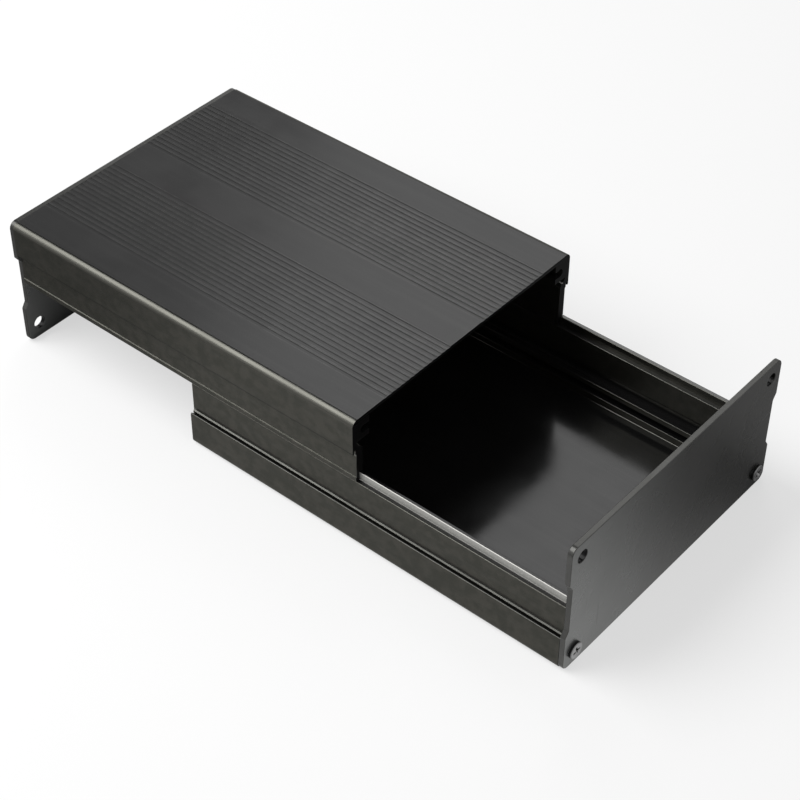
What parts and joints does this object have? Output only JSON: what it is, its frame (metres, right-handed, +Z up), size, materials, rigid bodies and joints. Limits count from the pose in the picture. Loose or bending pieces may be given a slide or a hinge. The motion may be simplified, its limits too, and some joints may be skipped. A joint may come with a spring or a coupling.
{
  "type": "split extruded enclosure",
  "caption": "Split extruded aluminium electronics enclosure: ribbed half shells that slide along a tongue and lip seam, closed by flat end plates held with pan head screws.",
  "frame": {"origin": "centre of the overall outline at its base, on the surface it lies on, with the upper shell slid part way back as stored", "axes": "+X along the extrusion towards the front plate, +Y across the width, +Z up"},
  "size_m": [0.3138, 0.145, 0.068],
  "materials": {
    "shell_anodised": "satin black anodised",
    "plate_anodised": "satin black anodised",
    "screw_black": "black plated"
  },
  "bodies": {
    "lower": {"lower_shell": "shell_anodised", "front_plate": "plate_anodised", "front_screw_near": "screw_black", "front_screw_far": "screw_black"},
    "upper": {"upper_shell": "shell_anodised", "rear_plate": "plate_anodised", "rear_screw_near": "screw_black", "rear_screw_far": "screw_black"}
  },
  "joints": [
    {"name": "shell_slide", "type": "slide", "parent": "lower", "child": "upper", "axis": [1, 0, 0], "range_m": [-0.084, 0.1058]}
  ]
}
